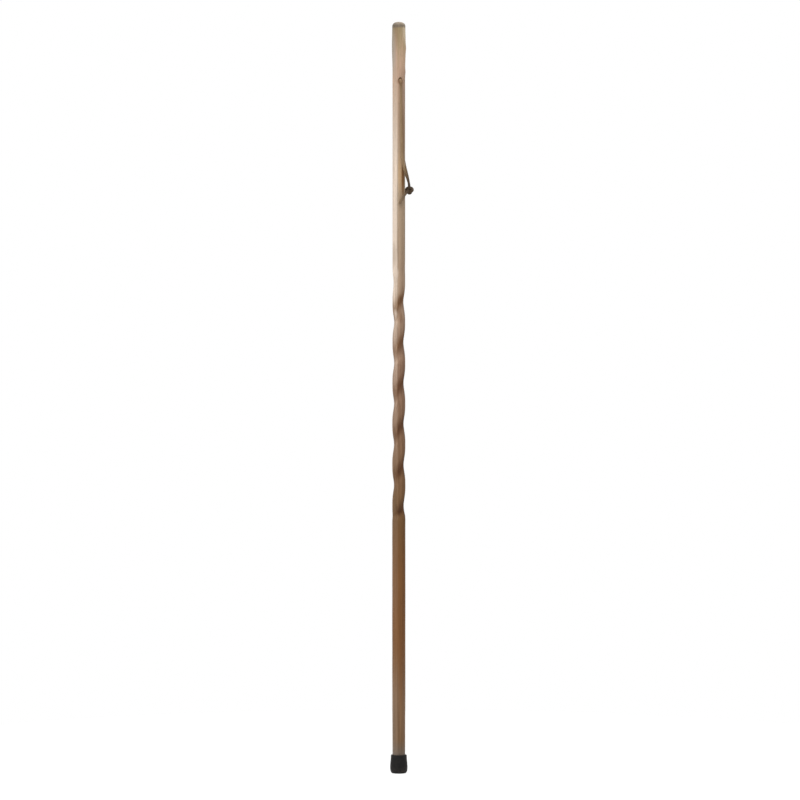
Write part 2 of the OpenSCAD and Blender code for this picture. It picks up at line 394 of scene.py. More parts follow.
@dataclass(frozen=True)
class StainedHardwood:
    """Straight-grained hardwood, turned and carved, wiped with stain and sealed with a satin varnish.

    The stain is thin at the grip and gathers towards the foot and in the groove, where painted shade on the
    groove's upper wall darkens it further. The eye sees long fibres, growth rings that run out along the
    shaft, a pale sapwood side and short dark pores.
    """

    top_z: float
    hole_z: float
    crown_z: float
    ferrule_z: float
    neck_r: float
    # The stain at places up the shaft
    foot: Stop = (0.05, "#533c24")
    ankle: Stop = (0.14, "#624830")
    low_shaft: Stop = (0.25, "#623f1e")
    high_shaft: Stop = (0.41, "#634120")
    twist_foot: Stop = (0.50, "#604426")
    twist_high: Stop = (0.79, "#80634f")
    shoulder: Stop = (0.96, "#9c846e")
    neck: Stop = (1.15, "#a69077")
    grip: Stop = (1.38, "#b5967f")
    crown_edge: Stop = (1.45, "#917f61")
    # The stain runs this far up and down the streaks
    stain_run: float = 160 * MM
    # Width and length of a fibre, a streak and a pore, and the detail of the noise that draws it. Real pores
    # are about 0.2 mm wide; they are drawn wider so that they still show
    fibre: Triple = (0.9 * MM, 55 * MM, 3.0)
    streak: Triple = (4 * MM, 220 * MM, 2.0)
    pore: Triple = (0.36 * MM, 5.5 * MM, 0.0)
    noise_roughness: float = 0.55
    ring_spacing: float = 2.4 * MM
    pith_offset: Point = (9 * MM, 13 * MM, 0.0)
    # How much the rings waver, and the share of that pace which they keep along the shaft
    ring_waver: float = 2.2
    ring_run: float = 0.02
    # Lightness by the fibres, the rings, the streaks and the pores, and roughness by the fibres
    shades: tuple[Span, ...] = (
        (0.3, 0.7, 0.9, 1.1),
        (0.0, 1.0, 1.06, 0.9),
        (0.3, 0.7, 0.88, 1.12),
        (0.67, 0.76, 1.0, 0.74),
    )
    fibre_gloss: Span = (0.3, 0.7, 0.58, 0.46)
    # Above the hole one side of the grip is paler and the other side darker
    pale_side_bearing: float = math.radians(-14)
    pale_side_span: Span = (-13 * MM, 13 * MM, -0.27, 1.0)
    pale_side_len: float = 44 * MM
    pale_side_gain: float = 0.6
    # The sapwood's bearing, its share by the distance from the axis, and how far the streaks move its edge
    sapwood_and_highlight_hex: str = "#d9c7b6"
    sapwood_bearing: float = math.radians(192)
    sapwood_fade: Span = (7.8 * MM, 11.6 * MM, 0.0, 0.95)
    sapwood_waver: float = 4 * MM
    # Height, and share of the sapwood's paleness that shows through the stain there
    sapwood_stops: tuple[tuple[float, float], ...] = (
        (0.13, 0.06), (0.22, 0.02), (0.29, 0.02), (0.35, 0.05), (0.47, 0.05), (0.54, 0.04),
        (0.70, 0.14), (0.80, 0.25), (0.91, 0.42), (0.97, 1.0), (1.20, 1.0), (1.40, 0.0),
    )
    # Stain that has gathered in the groove, with painted shade on its upper wall; sapwood takes up less of
    # this wash
    groove_stain_and_shade_hex: str = "#c0a78b"
    groove_power: float = 1.6
    sapwood_resist: float = 0.4
    # A darker colour on the crown: how ragged its edge is, where it starts and where it is full above the
    # dome's foot, and its share
    crown_hex: str = "#6c6257"
    crown_rag: float = 7 * MM
    crown_edges: tuple[float, float] = (-2 * MM, 3 * MM)
    crown_darkening: float = 0.85
    # Dust above the ferrule
    dust_hex: str = "#51514f"
    dust_height: float = 30 * MM
    dust_share: float = 0.45
    # Dirt round a spot below the hole: the distances up to which it is full and where it ends, its strength
    hole_dirt_drop: float = 4 * MM
    hole_dirt: Triple = (3.2 * MM, 8 * MM, 0.7)
    handled_and_shade_hex: str = "#a88a6c"
    polished_hex: str = "#bb9c78"
    # Colour of the painted shadow of the lace on the neck
    rubbed_hex: str = "#bb9a70"
    thumbed_hex: str = "#beae95"
    greyed_hex: str = "#b8b0a6"
    # A rub has its full strength up to this share of its size
    rub_core: float = 0.25
    # The lace polishes the neck where it lies, and a painted shadow of the lace lies beside it, most of all
    # near its knot. Then come the thumb's place and the greyer far side of the grip, the flecks where the
    # twist ends, of which the pale ones are painted highlights on its ridges and the two dark ones on the
    # front painted shade in its top groove, and a streak of the lower shaft that took more stain
    rubs: tuple[Rub, ...] = (
        Rub(-182, 55, -92, 6, 0.9, polished_hex, Wash.OPAQUE),
        # Painted shadow of the lace, beside it on the neck
        Rub(-194, 52, -63, 5.5, 1.0, rubbed_hex, Wash.CLEAR),
        Rub(-112, 86, -63, 5.5, 0.5, rubbed_hex, Wash.CLEAR),
        Rub(94, 34, -35, 11, 0.75, thumbed_hex, Wash.OPAQUE),
        Rub(90, 30, -120, 8, 0.15, handled_and_shade_hex, Wash.CLEAR),
        Rub(54, 62, -165, 11, 0.5, greyed_hex, Wash.OPAQUE),
        Rub(-343, 34, -160, 12, 0.45, greyed_hex, Wash.CLEAR),
        # Painted highlights on the twist's top ridges, and painted shade in its top groove
        Rub(-379, 18, -135, 8, 0.65, sapwood_and_highlight_hex, Wash.OPAQUE),
        Rub(-433, 16, -90, 8, 0.4, handled_and_shade_hex, Wash.CLEAR),
        Rub(-463, 20, -85, 7, 0.6, handled_and_shade_hex, Wash.CLEAR),
        Rub(-459, 13, -146, 7, 0.75, sapwood_and_highlight_hex, Wash.OPAQUE),
        Rub(-1125, 150, -75, 7, 0.15, handled_and_shade_hex, Wash.CLEAR),
    )
    relief: float = 0.25 * MM
    relief_share: float = 0.35
    ior: float = 1.5
    sheen: float = 0.2

    def material(self) -> bpy.types.Material:
        """Make the material for a shaft that stands on Z.

        Returns:
            The wood's material.
        """
        material, tree, shader = new_material("stained_hardwood")
        place = add_node(tree, "ShaderNodeTexCoord").node.outputs["Object"]
        height = add_node(tree, "ShaderNodeSeparateXYZ", (place,)).node.outputs["Z"]
        patterns = self.patterns(tree, place)
        fibres, _, streaks, _ = patterns
        lightness = self.sided_lightness(tree, place, height)
        for pattern, span in zip(patterns, self.shades):
            shade = add_node(tree, "ShaderNodeMapRange", (pattern, *span))
            lightness = add_node(tree, "ShaderNodeMath", (lightness, shade), operation="MULTIPLY")
        colour, sapwood = self.stained(tree, place, height, streaks)
        for mask, wash_hex, wash in self.washes(tree, place, height, fibres, sapwood):
            layers = (mask, colour, linear(wash_hex))
            colour = add_node(tree, "ShaderNodeMix", layers, data_type="RGBA", blend_type=wash.value)
        figured = add_node(tree, "ShaderNodeHueSaturation", {"Value": lightness, "Color": colour})
        gloss = add_node(tree, "ShaderNodeMapRange", (fibres, *self.fibre_gloss))
        relief = {"Strength": self.relief_share, "Distance": self.relief, "Height": lightness}
        normal = add_node(tree, "ShaderNodeBump", relief)
        fill(shader, {"Base Color": figured, "Roughness": gloss, "Normal": normal})
        fill(shader, {"IOR": self.ior, "Specular IOR Level": self.sheen})
        return material

    def patterns(self, tree: Tree, place: Socket) -> tuple[Socket, Socket, Socket, Socket]:
        """Draw the wood's grain, with its rings round a pith that lies off the staff's axis.

        Args:
            tree: The material's tree.
            place: Object coordinates.

        Returns:
            The fibres, the growth rings, the streaks and the pores.
        """
        drawn = []
        for width, length, detail in (self.fibre, self.streak, self.pore):
            scale = (1 / width, 1 / width, 1 / length)
            cells = add_node(tree, "ShaderNodeMapping", {"Vector": place, "Scale": scale})
            noise = {"Vector": cells, "Scale": 1.0, "Detail": detail, "Roughness": self.noise_roughness}
            drawn.append(add_node(tree, "ShaderNodeTexNoise", noise))
        run_out = {"Vector": place, "Location": self.pith_offset, "Scale": (1.0, 1.0, self.ring_run)}
        from_pith = add_node(tree, "ShaderNodeMapping", run_out)
        scale = FULL_TURN / (WAVE_RATE * self.ring_spacing)
        waves = {"Vector": from_pith, "Scale": scale, "Distortion": self.ring_waver}
        waves |= {"Detail": 2.0, "Detail Scale": 0.6}
        saw = {"wave_type": "RINGS", "rings_direction": "Z", "wave_profile": "SAW"}
        rings = add_node(tree, "ShaderNodeTexWave", waves, **saw)
        fibres, streaks, pores = drawn
        return fibres, rings.node.outputs["Fac"], streaks, pores

    def sided_lightness(self, tree: Tree, place: Socket, height: Socket) -> Socket:
        """Lighten one side of the grip above the hole and darken the other.

        Args:
            tree: The material's tree.
            place: Object coordinates.
            height: Height of each point.

        Returns:
            Lightness at each point, 1 where it is unchanged.
        """
        way = spot_at(self.pale_side_bearing)
        side = add_node(tree, "ShaderNodeVectorMath", (place, way), operation="DOT_PRODUCT")
        share = add_node(tree, "ShaderNodeMapRange", (side, *self.pale_side_span))
        rise = (height, self.hole_z, self.hole_z + self.pale_side_len, 0.0, self.pale_side_gain)
        gain = add_node(tree, "ShaderNodeMapRange", rise, **EASED)
        return add_node(tree, "ShaderNodeMath", (share, gain, 1.0), operation="MULTIPLY_ADD")

    def stained(self, tree: Tree, place: Socket, height: Socket, streaks: Socket) -> tuple[Socket, Socket]:
        """Stain the wood by its height, and let the sapwood show on its side.

        Args:
            tree: The material's tree.
            place: Object coordinates.
            height: Height of each point.
            streaks: The streaks, which the stain and the sapwood's edge follow.

        Returns:
            Colour of the wood, and where it is sapwood.
        """
        uneven = (streaks, self.stain_run, height)
        run = add_node(tree, "ShaderNodeMath", uneven, operation="MULTIPLY_ADD")
        low_z = self.stain_run / 2
        share = add_node(tree, "ShaderNodeMapRange", (run, low_z, low_z + self.top_z))
        lower_stops = (self.foot, self.ankle, self.low_shaft, self.high_shaft, self.twist_foot)
        upper_stops = (self.twist_high, self.shoulder, self.neck, self.grip, self.crown_edge)
        stain_stops = [(stop_z, linear(colour)) for stop_z, colour in lower_stops + upper_stops]
        pale_stops = [(stop_z, (part, part, part, 1.0)) for stop_z, part in self.sapwood_stops]
        by_height = []
        for stops in (stain_stops, pale_stops):
            ramp = add_node(tree, "ShaderNodeValToRGB", (share,))
            elements = ramp.node.color_ramp.elements
            while len(elements) < len(stops):
                elements.new(1.0)
            for element, (stop_z, value) in zip(elements, stops):
                element.position = stop_z / self.top_z
                element.color = value
            by_height.append(ramp)
        stain, show_through = by_height
        way = spot_at(self.sapwood_bearing)
        side = add_node(tree, "ShaderNodeVectorMath", (place, way), operation="DOT_PRODUCT")
        wavy = (streaks, self.sapwood_waver, side)
        edge = add_node(tree, "ShaderNodeMath", wavy, operation="MULTIPLY_ADD")
        fade = (edge, *self.sapwood_fade)
        sapwood = add_node(tree, "ShaderNodeMapRange", fade, **EASED)
        pale = add_node(tree, "ShaderNodeMath", (sapwood, show_through), operation="MULTIPLY")
        layers = (pale, stain, linear(self.sapwood_and_highlight_hex))
        return add_node(tree, "ShaderNodeMix", layers, data_type="RGBA"), sapwood

    def washes(
        self, tree: Tree, place: Socket, height: Socket, fibres: Socket, sapwood: Socket
    ) -> list[tuple[Socket, str, Wash]]:
        """Find where gathered stain with painted shade in the groove, dust, dirt, handling, a darker crown
        and the rubs' painted shadow, shade and highlights have coloured the wood.

        Args:
            tree: The material's tree.
            place: Object coordinates.
            height: Height of each point.
            fibres: The fibres, which the crown's dirt follows.
            sapwood: Where the wood is sapwood.

        Returns:
            Mask, colour and way of each wash, in their order.
        """
        stain = add_node(tree, "ShaderNodeAttribute", attribute_name="gathered_stain").node.outputs["Fac"]
        stain_and_shade = add_node(tree, "ShaderNodeMath", (stain, self.groove_power), operation="POWER")
        resist = (sapwood, -self.sapwood_resist, 1.0)
        thirst = add_node(tree, "ShaderNodeMath", resist, operation="MULTIPLY_ADD")
        soaked_and_shaded = add_node(tree, "ShaderNodeMath", (stain_and_shade, thirst), operation="MULTIPLY")
        settle = (height, self.ferrule_z + self.dust_height, self.ferrule_z, 0.0, self.dust_share)
        dust = add_node(tree, "ShaderNodeMapRange", settle)
        below_hole = (0.0, 0.0, self.hole_z - self.hole_dirt_drop)
        dirt = soft_spot(tree, place, below_hole, SEEN_ALONG_HOLE, *self.hole_dirt)
        washes = [
            # Stain in the groove, and painted shade on its upper wall
            (soaked_and_shaded, self.groove_stain_and_shade_hex, Wash.CLEAR),
            (dust, self.dust_hex, Wash.OPAQUE),
            (dirt, self.handled_and_shade_hex, Wash.CLEAR),
        ]
        for rub in self.rubs:
            middle = spot_at(math.radians(rub.bearing), self.neck_r, self.hole_z + rub.above_hole * MM)
            across = 1 / (rub.half_width * MM)
            scale = (across, across, 1 / (rub.half_length * MM))
            mask = soft_spot(tree, place, middle, scale, self.rub_core, 1.0, rub.strength)
            washes.append((mask, rub.colour, rub.wash))
        rag = (fibres, self.crown_rag, height)
        ragged = add_node(tree, "ShaderNodeMath", rag, operation="MULTIPLY_ADD")
        low_z, high_z = (self.crown_z + edge for edge in self.crown_edges)
        fade = (ragged, low_z, high_z, 0.0, self.crown_darkening)
        crown = add_node(tree, "ShaderNodeMapRange", fade, **EASED)
        return [*washes, (crown, self.crown_hex, Wash.OPAQUE)]


@dataclass(frozen=True)
class OiledLeather:
    """Vegetable-tanned leather lace, cut flat, dyed dark brown and oiled.

    The eye sees a pebbled grain, paler cut edges and places where handling has rubbed the dye. The lace is
    darkened round its knot by dirt and by painted shade, and chafed where it leaves its hole.
    """

    knot_at: Point
    hole_z: float
    face_hex: str = "#927858"
    edge_hex: str = "#9c8161"
    rub_hex: str = "#a48968"
    soiled_and_shaded_hex: str = "#35261b"
    chafed_hex: str = "#6a4a28"
    # Real pebbles are about 0.5 mm; they are drawn larger so that they still show
    pebble: float = 0.9 * MM
    rub_length: float = 14 * MM
    # Lightness by the distance from a pebble's middle, rubs by the noise of handling, roughness by the rubs
    pebble_shade: Span = (0.0, 0.7, 1.12, 0.75)
    rub_share: Span = (0.45, 0.75, 0.0, 0.7)
    rub_gloss: Span = (0.0, 1.0, 0.62, 0.42)
    # Distances of full and of no darkening from the knot, by dirt and painted shade, and of chafing from a
    # spot below the hole, and its strength
    soiled_and_shaded: Triple = (11 * MM, 60 * MM, 0.85)
    chafed: Triple = (4 * MM, 13 * MM, 0.5)
    chafed_drop: float = 4 * MM
    relief: float = 0.15 * MM
    relief_share: float = 0.5
    ior: float = 1.48
    sheen: float = 0.35

    def material(self) -> bpy.types.Material:
        """Make the lace's material.

        Returns:
            The leather's material.
        """
        material, tree, shader = new_material("oiled_leather")
        place = add_node(tree, "ShaderNodeTexCoord").node.outputs["Object"]
        grid = {"Vector": place, "Scale": 1 / self.pebble}
        pebbles = add_node(tree, "ShaderNodeTexVoronoi", grid, feature="SMOOTH_F1")
        noise = {"Vector": place, "Scale": 1 / self.rub_length, "Detail": 4.0}
        handling = add_node(tree, "ShaderNodeTexNoise", noise)
        rubs = add_node(tree, "ShaderNodeMapRange", (handling, *self.rub_share))
        edges = add_node(tree, "ShaderNodeAttribute", attribute_name="cut_edge").node.outputs["Fac"]
        below_hole = (0.0, 0.0, self.hole_z - self.chafed_drop)
        washes = (
            (rubs, self.rub_hex),
            (edges, self.edge_hex),
            # Dirt and painted shade round the knot
            (soft_spot(tree, place, self.knot_at, ALL_AXES, *self.soiled_and_shaded), self.soiled_and_shaded_hex),
            (soft_spot(tree, place, below_hole, SEEN_ALONG_HOLE, *self.chafed), self.chafed_hex),
        )
        colour: Socket | Colour = linear(self.face_hex)
        for mask, wash_hex in washes:
            layers = (mask, colour, linear(wash_hex))
            colour = add_node(tree, "ShaderNodeMix", layers, data_type="RGBA")
        shade = add_node(tree, "ShaderNodeMapRange", (pebbles, *self.pebble_shade))
        grained = add_node(tree, "ShaderNodeHueSaturation", {"Value": shade, "Color": colour})
        gloss = add_node(tree, "ShaderNodeMapRange", (rubs, *self.rub_gloss))
        relief = {"Strength": self.relief_share, "Distance": self.relief, "Height": pebbles}
        normal = add_node(tree, "ShaderNodeBump", relief, invert=True)
        fill(shader, {"Base Color": grained, "Roughness": gloss, "Normal": normal})
        fill(shader, {"IOR": self.ior, "Specular IOR Level": self.sheen})
        return material


@dataclass(frozen=True)
class MouldedRubber:
    """Black natural rubber, moulded with a matt spark-eroded skin and used on dusty ground.

    The eye sees a soft dark sheen, a fine grain and pale dust that clings near the tread.
    """

    rubber_hex: str = "#0a0909"
    dust_hex: str = "#332f29"
    # A real mould grain is about 0.1 mm; it is drawn coarser so that it still shows
    grain: float = 0.5 * MM
    scuff: float = 6 * MM
    scuff_roughness: float = 0.65
    # Dust by height and by the noise of the scuffs, and roughness by the dust
    dust_fade: Span = (0.0, 16 * MM, 0.55, 0.12)
    scuff_dust: Span = (0.38, 0.72, 0.0, 1.0)
    dust_gloss: Span = (0.0, 1.0, 0.6, 0.9)
    relief: float = 0.2 * MM
    relief_share: float = 0.6
    ior: float = 1.52
    sheen: float = 0.13

    def material(self) -> bpy.types.Material:
        """Make the material for a ferrule that stands on Z.

        Returns:
            The rubber's material.
        """
        material, tree, shader = new_material("moulded_rubber")
        place = add_node(tree, "ShaderNodeTexCoord").node.outputs["Object"]
        height = add_node(tree, "ShaderNodeSeparateXYZ", (place,)).node.outputs["Z"]
        noise = {"Vector": place, "Scale": 1 / self.grain, "Detail": 2.0}
        grain = add_node(tree, "ShaderNodeTexNoise", noise)
        noise = {"Vector": place, "Scale": 1 / self.scuff, "Detail": 6.0, "Roughness": self.scuff_roughness}
        scuffs = add_node(tree, "ShaderNodeTexNoise", noise)
        fade = (height, *self.dust_fade)
        low = add_node(tree, "ShaderNodeMapRange", fade, **EASED)
        patch = add_node(tree, "ShaderNodeMapRange", (scuffs, *self.scuff_dust))
        dust = add_node(tree, "ShaderNodeMath", (low, patch), operation="MULTIPLY")
        layers = (dust, linear(self.rubber_hex), linear(self.dust_hex))
        colour = add_node(tree, "ShaderNodeMix", layers, data_type="RGBA")
        gloss = add_node(tree, "ShaderNodeMapRange", (dust, *self.dust_gloss))
        relief = {"Strength": self.relief_share, "Distance": self.relief, "Height": grain}
        normal = add_node(tree, "ShaderNodeBump", relief)
        fill(shader, {"Base Color": colour, "Roughness": gloss, "Normal": normal})
        fill(shader, {"IOR": self.ior, "Specular IOR Level": self.sheen})
        return material


@dataclass(frozen=True)
class ZincPlatedSteel:
    """Mild steel, stamped and zinc-plated, which looks pale and faintly blue with rubbed rings."""

    plate_hex: str = "#b9bec2"
    rubbed_hex: str = "#8f9290"
    scratch: float = 0.8 * MM
    scratch_waver: float = 1.5
    # Roughness by the rings
    ring_gloss: Span = (0.0, 1.0, 0.28, 0.45)

    def material(self) -> bpy.types.Material:
        """Make the material for a flat washer round Z.

        Returns:
            The steel's material.
        """
        material, tree, shader = new_material("zinc_plated_steel")
        place = add_node(tree, "ShaderNodeTexCoord").node.outputs["Object"]
        scale = FULL_TURN / (WAVE_RATE * self.scratch)
        waves = {"Vector": place, "Scale": scale, "Distortion": self.scratch_waver, "Detail": 2.0}
        turned = add_node(tree, "ShaderNodeTexWave", waves, wave_type="RINGS", rings_direction="Z")
        rings = turned.node.outputs["Fac"]
        layers = (rings, linear(self.plate_hex), linear(self.rubbed_hex))
        colour = add_node(tree, "ShaderNodeMix", layers, data_type="RGBA")
        gloss = add_node(tree, "ShaderNodeMapRange", (rings, *self.ring_gloss))
        fill(shader, {"Base Color": colour, "Roughness": gloss, "Metallic": 1.0})
        return material


# Sub-assemblies


@dataclass
class Studio:
    """Camera, soft lights and a pale floor."""

    azimuth: float = math.radians(-14)
    eye_height: float = 0.7315
    field_width: float = 1.5688
    lens: float = 150.0
    sensor: float = 36.0
    sight_range: float = 100.0
    aim_right: float = 2.3 * MM
    floor_radius: float = 1.3
    floor_sides: int = 96
    floor_hex: str = "#f8f8f8"
    floor_roughness: float = 0.9
    floor_sheen: float = 0.1
    # The camera sees the backdrop through this share of the floor, so that both look equally white
    floor_clear: float = 0.9
    backdrop: float = 1.0
    lamp_distance: float = 3.0
    # Light of the surround by how far up it is
    sky: Span = (0.0, 1.0, 0.30, 1.5)
    # Bearing from the camera, height above level, strength and width of the key and of the light behind
    key: Lamp = (-35.0, 60.0, 2.95, 35.0)
    back: Lamp = (180.0, 35.0, 0.8, 60.0)

    def camera(self) -> None:
        """Stand the camera level, at the height and distance that give the staff its size in the picture."""
        data = bpy.data.cameras.new("camera")
        data.lens = self.lens
        data.sensor_width = self.sensor
        data.clip_end = self.sight_range
        camera = new_object("camera", data)
        distance = self.field_width * self.lens / self.sensor
        back = Vector(spot_at(self.azimuth - QUARTER_TURN))
        right = Vector(spot_at(self.azimuth))
        camera.location = back * distance + right * self.aim_right + Vector((0, 0, self.eye_height))
        camera.rotation_euler = (QUARTER_TURN, 0.0, self.azimuth)
        bpy.context.scene.camera = camera

    def floor(self) -> None:
        """Lay a round pale floor under the staff."""
        mesh = bpy.data.meshes.new("floor")
        bearings = np.linspace(0, FULL_TURN, self.floor_sides, endpoint=False)
        rim = [spot_at(bearing, self.floor_radius) for bearing in bearings]
        mesh.from_pydata(rim, [], [tuple(range(len(rim)))])
        material, tree, shader = new_material("floor_paper")
        fill(shader, {"Base Color": linear(self.floor_hex), "Roughness": self.floor_roughness})
        fill(shader, {"Specular IOR Level": self.floor_sheen})
        seen = add_node(tree, "ShaderNodeLightPath").node.outputs["Is Camera Ray"]
        share = add_node(tree, "ShaderNodeMath", (seen, self.floor_clear), operation="MULTIPLY")
        clear = add_node(tree, "ShaderNodeBsdfTransparent")
        paper = add_node(tree, "ShaderNodeMixShader", (share, shader.outputs[0], clear))
        fill(tree.nodes["Material Output"], {"Surface": paper})
        mesh.materials.append(material)
        floor = new_object("floor", mesh)

    def light(self) -> None:
        """Light the staff with a white surround that is brightest overhead, a soft key and a back light."""
        scene = bpy.context.scene
        scene.view_settings.view_transform = "Standard"
        world = bpy.data.worlds.new("studio")
        world.use_nodes = True
        scene.world = world
        tree = world.node_tree
        tree.nodes.clear()
        way = add_node(tree, "ShaderNodeTexCoord").node.outputs["Generated"]
        up = add_node(tree, "ShaderNodeSeparateXYZ", (way,)).node.outputs["Z"]
        sky = add_node(tree, "ShaderNodeMapRange", (up, *self.sky), **EASED)
        seen = add_node(tree, "ShaderNodeLightPath").node.outputs["Is Camera Ray"]
        strength = add_node(tree, "ShaderNodeMix", (seen, sky, self.backdrop))
        white = (1.0, 1.0, 1.0, 1.0)
        glow = add_node(tree, "ShaderNodeBackground", {"Color": white, "Strength": strength})
        add_node(tree, "ShaderNodeOutputWorld", {"Surface": glow})
        self.lamp("key", *self.key)
        self.lamp("back", *self.back)

    def lamp(self, name: str, bearing: float, rise: float, strength: float, width: float) -> None:
        """Shine a broad, distant lamp on the staff.

        Args:
            name: Name of the lamp.
            bearing: Degrees from the camera's side, to the right.
            rise: Degrees above level.
            strength: Light on a face that looks at the lamp, in watts for each square metre.
            width: Degrees that the lamp spans.
        """
        data = bpy.data.lights.new(name, "SUN")
        data.energy = strength
        data.angle = math.radians(width)
        lamp = new_object(name, data)
        turn = self.azimuth + math.radians(bearing) - QUARTER_TURN
        lift = math.radians(rise)
        way = Vector(spot_at(turn, math.cos(lift), math.sin(lift)))
        lamp.location = way * self.lamp_distance
        lamp.rotation_euler = (-way).to_track_quat("-Z", "Y").to_euler()


@dataclass
class Shaft:
    """The staff's one length of wood: turned, carved with a right-hand twist, and drilled for the lace."""

    foot_z: float
    top_z: float
    ferrule_z: float
    shaft_d: float = 25.8 * MM
    foot_d: float = 25.1 * MM
    foot_len: float = 45 * MM
    foot_taper_len: float = 110 * MM
    foot_bevel: float = 1 * MM
    neck_d: float = 24.7 * MM
    grip_d: float = 27 * MM
    grip_drop: float = 46 * MM
    grip_swell_len: float = 52 * MM
    crown_d: float = 25.8 * MM
    crown_h: float = 9 * MM
    crown_power: float = 2.3
    twist_z: float = 494 * MM
    twist_len: float = 516 * MM
    twist_lead: float = 80 * MM
    groove_depth: float = 3.4 * MM
    low_fade_len: float = 20 * MM
    high_fade_len: float = 84 * MM
    groove_bearing: float = math.radians(-151)
    groove_power: float = 1.6
    # Bearing above the groove's floor, at the twist's foot, of the stain and painted shade on its upper
    # wall, and what each turn adds to it
    stain_and_shade_rise: float = math.radians(27)
    stain_and_shade_climb: float = math.radians(9)
    hole_d: float = 6.4 * MM
    hole_drop: float = 114 * MM
    hole_ease: float = 2 * MM
    # The tool that cuts the hole reaches this far out of the wood
    hole_tool_out: float = 6 * MM
    # How far the gouge strays, in radians, and how often in each metre
    sway: float = 0.25
    sway_rate: float = 14.0
    # How uneven the wood is, how many lumps it has in each metre across and along, and the length over
    # which it becomes so above the ferrule
    wobble: float = 0.5 * MM
    lump_rate: Triple = (70.0, 70.0, 16.0)
    wobble_fade_len: float = 40 * MM
    # Points round the wood and round the tool that cuts the hole
    sides: int = 80
    hole_sides: int = 48
    # Rings of points on the foot's bevel, on an eased mouth of the hole and on the crown
    bevel_rings: int = 5
    mouth_rings: int = 7
    crown_rings: int = 17
    # Distance between rings of points on the plain, carved, drilled and swelled stretches
    plain_step: float = 4 * MM
    carved_step: float = 1.25 * MM
    drilled_step: float = 0.8 * MM
    swelled_step: float = 2 * MM
    # Height, bearing, swelling and half length of each healed twig stub on the grip
    stubs: tuple[tuple[float, float, float, float], ...] = (
        (1421 * MM, math.radians(-14), 0.7 * MM, 13 * MM),
        (1375 * MM, math.radians(-10), 0.8 * MM, 11 * MM),
    )

    @property
    def hole_z(self) -> float:
        """Height of the cross hole's axis."""
        return self.top_z - self.hole_drop

    @property
    def crown_z(self) -> float:
        """Height where the dome of the crown starts."""
        return self.top_z - self.crown_h

    @property
    def twist_top(self) -> float:
        """Height where the twist ends."""
        return self.twist_z + self.twist_len

    def turned_radius(self, z: float) -> float:
        """Work out the turned radius at a height, before the twist is carved.

        Args:
            z: Height between the foot's bevel and the crown.

        Returns:
            Radius of the wood.
        """
        grip_z = self.top_z - self.grip_drop
        taper = min(1.0, max(0.0, (z - self.foot_z - self.foot_len) / self.foot_taper_len))
        across = self.foot_d + (self.shaft_d - self.foot_d) * taper
        across = mix(across, self.neck_d, (z - self.twist_z) / self.twist_len)
        across = mix(across, self.grip_d, (z - grip_z + self.grip_swell_len) / self.grip_swell_len)
        across = mix(across, self.crown_d, (z - grip_z) / (self.crown_z - grip_z))
        return across / 2

    def turned_profile(self) -> Profile:
        """List the rings of the turned blank, from the foot's end to the top of the crown.

        Returns:
            Radius and height of each ring.
        """
        foot_r = self.foot_d / 2
        profile: Profile = [(0.0, self.foot_z), (foot_r / 2, self.foot_z)]
        for angle in np.linspace(0, QUARTER_TURN, self.bevel_rings):
            inset = self.foot_bevel * (1 - math.sin(angle))
            profile.append((foot_r - inset, self.foot_z + self.foot_bevel * (1 - math.cos(angle))))
        hole_room = self.hole_d + self.hole_ease
        stretches = (
            (self.foot_z + self.foot_bevel, self.twist_z, self.plain_step),
            (self.twist_z, self.twist_top, self.carved_step),
            (self.twist_top, self.hole_z - hole_room, self.plain_step),
            (self.hole_z - hole_room, self.hole_z + hole_room, self.drilled_step),
            (self.hole_z + hole_room, self.crown_z, self.swelled_step),
        )
        for low, high, step in stretches:
            heights = np.linspace(low, high, math.ceil((high - low) / step) + 1)
            profile += [(self.turned_radius(z), z) for z in heights[1:]]
        fullness = 2 / self.crown_power
        for angle in np.linspace(0, QUARTER_TURN, self.crown_rings)[1:-1]:
            radius = self.crown_d / 2 * math.cos(angle) ** fullness
            profile.append((radius, self.crown_z + self.crown_h * math.sin(angle) ** fullness))
        profile.append((0.0, self.top_z))
        return profile

    def hole_cutter(self) -> bpy.types.Object:
        """Make the spool that cuts the cross hole with eased mouths.

        Returns:
            A scratch object, along Y through the hole.
        """
        hole_r = self.hole_d / 2
        mouth = self.neck_d / 2
        end = mouth + self.hole_tool_out
        half: Profile = [(hole_r, 0.0)]
        for angle in np.linspace(0, QUARTER_TURN, self.mouth_rings):
            flare = self.hole_ease * (1 - math.cos(angle))
            half.append((hole_r + flare, mouth - self.hole_ease * (1 - math.sin(angle))))
        half.append((hole_r + self.hole_ease, end))
        mirrored = [(radius, -reach) for radius, reach in reversed(half[1:])]
        profile = [(0.0, -end), *mirrored, *half, (0.0, end)]
        mesh = turned_mesh("hole_cutter", profile, self.hole_sides)
        mesh.transform(Matrix.Translation((0, 0, self.hole_z)) @ Matrix.Rotation(QUARTER_TURN, 4, "X"))
        return new_object("hole_cutter", mesh)

    def carving_sizes(self) -> dict[str, float]:
        """List the sizes that the carving takes.

        Returns:
            Value of each named input.
        """
        return {
            "Twist Foot": self.twist_z,
            "Full Foot": self.twist_z + self.low_fade_len,
            "Full Top": self.twist_top - self.high_fade_len,
            "Twist Top": self.twist_top,
            "Lead": self.twist_lead,
            "Groove Depth": self.groove_depth,
            "Groove Bearing": self.groove_bearing,
            "Groove Power": self.groove_power,
            "Stain Rise": self.stain_and_shade_rise,
            "Stain Climb": self.stain_and_shade_climb,
            "Sway": self.sway,
            "Wobble": self.wobble,
            "Wobble Foot": self.ferrule_z,
            "Full Wobble": self.ferrule_z + self.wobble_fade_len,
        }

